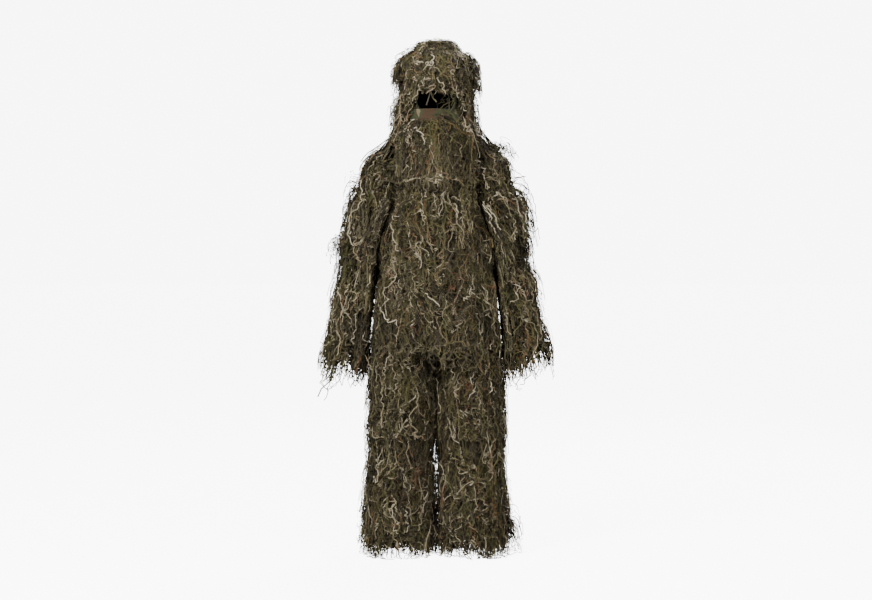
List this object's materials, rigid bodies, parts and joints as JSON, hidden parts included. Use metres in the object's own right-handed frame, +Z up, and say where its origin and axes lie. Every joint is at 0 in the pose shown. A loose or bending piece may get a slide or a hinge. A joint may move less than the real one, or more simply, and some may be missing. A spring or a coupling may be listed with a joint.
{
  "type": "ghillie suit",
  "caption": "Full-body concealment suit: fringed camouflage jacket, trousers and hood with a face veil, in its worn shape.",
  "frame": {"origin": "centre of the jacket's collar, where it sits on the wearer's shoulders, 1.45 m above the ground", "axes": "+Z up, -Y the way the wearer faces, +X the wearer's left"},
  "size_m": [0.7988, 0.4073, 1.7845],
  "materials": {
    "camo_cloth": "woven woodland camouflage cloth",
    "yarn_fringe": "frayed synthetic yarn in olive, brown and tan",
    "elastic_band": "woven elastic",
    "binding_tape": "folded cloth tape",
    "snap_metal": "satin dark green"
  },
  "bodies": {
    "jacket": {"jacket_front_left": "camo_cloth", "jacket_front_right": "camo_cloth", "jacket_back": "camo_cloth", "collar": "camo_cloth", "jacket_hem_binding": "binding_tape", "jacket_yoke_fringe": "yarn_fringe", "jacket_chest_fringe": "yarn_fringe", "jacket_midriff_fringe": "yarn_fringe", "jacket_waist_fringe": "yarn_fringe", "jacket_hem_fringe": "yarn_fringe", "snap_studs": "snap_metal"},
    "placket": {"placket_flap": "camo_cloth", "snap_caps": "snap_metal"},
    "cape": {"hood_cape": "camo_cloth", "cape_fringe": "yarn_fringe"},
    "hood": {"hood_shell": "camo_cloth", "face_binding": "binding_tape", "hood_crown_fringe": "yarn_fringe", "hood_brim_fringe": "yarn_fringe", "hood_side_fringe": "yarn_fringe"},
    "veil": {"face_veil": "camo_cloth", "veil_fringe": "yarn_fringe", "veil_snaps": "snap_metal"},
    "trousers": {"trouser_seat": "camo_cloth", "waist_elastic": "elastic_band", "trouser_gusset": "camo_cloth", "trouser_seat_fringe": "yarn_fringe"},
    "left_upper_arm": {"left_upper_sleeve": "camo_cloth", "left_shoulder_fringe": "yarn_fringe", "left_upper_arm_fringe": "yarn_fringe"},
    "left_forearm": {"left_lower_sleeve": "camo_cloth", "left_cuff_elastic": "elastic_band", "left_elbow_fringe": "yarn_fringe", "left_forearm_fringe": "yarn_fringe", "left_cuff_fringe": "yarn_fringe"},
    "left_thigh": {"left_thigh_cloth": "camo_cloth", "left_hip_fringe": "yarn_fringe", "left_thigh_fringe": "yarn_fringe"},
    "left_shin": {"left_shin_cloth": "camo_cloth", "left_hem_binding": "binding_tape", "left_knee_fringe": "yarn_fringe", "left_shin_fringe": "yarn_fringe", "left_ankle_fringe": "yarn_fringe"},
    "right_upper_arm": {"right_upper_sleeve": "camo_cloth", "right_shoulder_fringe": "yarn_fringe", "right_upper_arm_fringe": "yarn_fringe"},
    "right_forearm": {"right_lower_sleeve": "camo_cloth", "right_cuff_elastic": "elastic_band", "right_elbow_fringe": "yarn_fringe", "right_forearm_fringe": "yarn_fringe", "right_cuff_fringe": "yarn_fringe"},
    "right_thigh": {"right_thigh_cloth": "camo_cloth", "right_hip_fringe": "yarn_fringe", "right_thigh_fringe": "yarn_fringe"},
    "right_shin": {"right_shin_cloth": "camo_cloth", "right_hem_binding": "binding_tape", "right_knee_fringe": "yarn_fringe", "right_shin_fringe": "yarn_fringe", "right_ankle_fringe": "yarn_fringe"}
  },
  "joints": [
    {"name": "placket_open", "type": "hinge", "parent": "jacket", "child": "placket", "pos_m": [0.024, -0.142, -0.297], "axis": [0, 0, 1], "range_deg": [0, 80]},
    {"name": "hood_lift", "type": "slide", "parent": "jacket", "child": "cape", "axis": [0, 0, 1], "range_m": [0, 0.3]},
    {"name": "hood_turn", "type": "hinge", "parent": "cape", "child": "hood", "pos_m": [0, 0, 0.05], "axis": [0, 0, 1], "range_deg": [-35, 35]},
    {"name": "veil_lift", "type": "hinge", "parent": "hood", "child": "veil", "pos_m": [0, -0.148, 0.107], "axis": [-1, 0, 0], "range_deg": [0, 100]},
    {"name": "trousers_pull_down", "type": "slide", "parent": "jacket", "child": "trousers", "axis": [0, 0, -1], "range_m": [0, 0.2]},
    {"name": "left_arm_raise", "type": "hinge", "parent": "jacket", "child": "left_upper_arm", "pos_m": [0.172, 0, -0.115], "axis": [0, -1, 0], "range_deg": [0, 75], "deforming": ["left_shoulder_fringe"]},
    {"name": "left_elbow_bend", "type": "hinge", "parent": "left_upper_arm", "child": "left_forearm", "pos_m": [0.23271, 0, -0.40062], "axis": [-1, 0, 0], "range_deg": [0, 90], "deforming": ["left_elbow_fringe"]},
    {"name": "left_hip_bend", "type": "hinge", "parent": "trousers", "child": "left_thigh", "pos_m": [0.106, 0, -0.635], "axis": [-1, 0, 0], "range_deg": [-10, 65], "deforming": ["left_hip_fringe", "jacket_hem_fringe", "trouser_seat_fringe"]},
    {"name": "left_knee_bend", "type": "hinge", "parent": "left_thigh", "child": "left_shin", "pos_m": [0.11742, 0, -1.01983], "axis": [1, 0, 0], "range_deg": [0, 90], "deforming": ["left_knee_fringe"]},
    {"name": "right_arm_raise", "type": "hinge", "parent": "jacket", "child": "right_upper_arm", "pos_m": [-0.172, 0, -0.115], "axis": [0, 1, 0], "range_deg": [0, 75], "deforming": ["right_shoulder_fringe"]},
    {"name": "right_elbow_bend", "type": "hinge", "parent": "right_upper_arm", "child": "right_forearm", "pos_m": [-0.23271, 0, -0.40062], "axis": [-1, 0, 0], "range_deg": [0, 90], "deforming": ["right_elbow_fringe"]},
    {"name": "right_hip_bend", "type": "hinge", "parent": "trousers", "child": "right_thigh", "pos_m": [-0.106, 0, -0.635], "axis": [-1, 0, 0], "range_deg": [-10, 65], "deforming": ["right_hip_fringe"]},
    {"name": "right_knee_bend", "type": "hinge", "parent": "right_thigh", "child": "right_shin", "pos_m": [-0.11742, 0, -1.01983], "axis": [1, 0, 0], "range_deg": [0, 90], "deforming": ["right_knee_fringe"]}
  ]
}
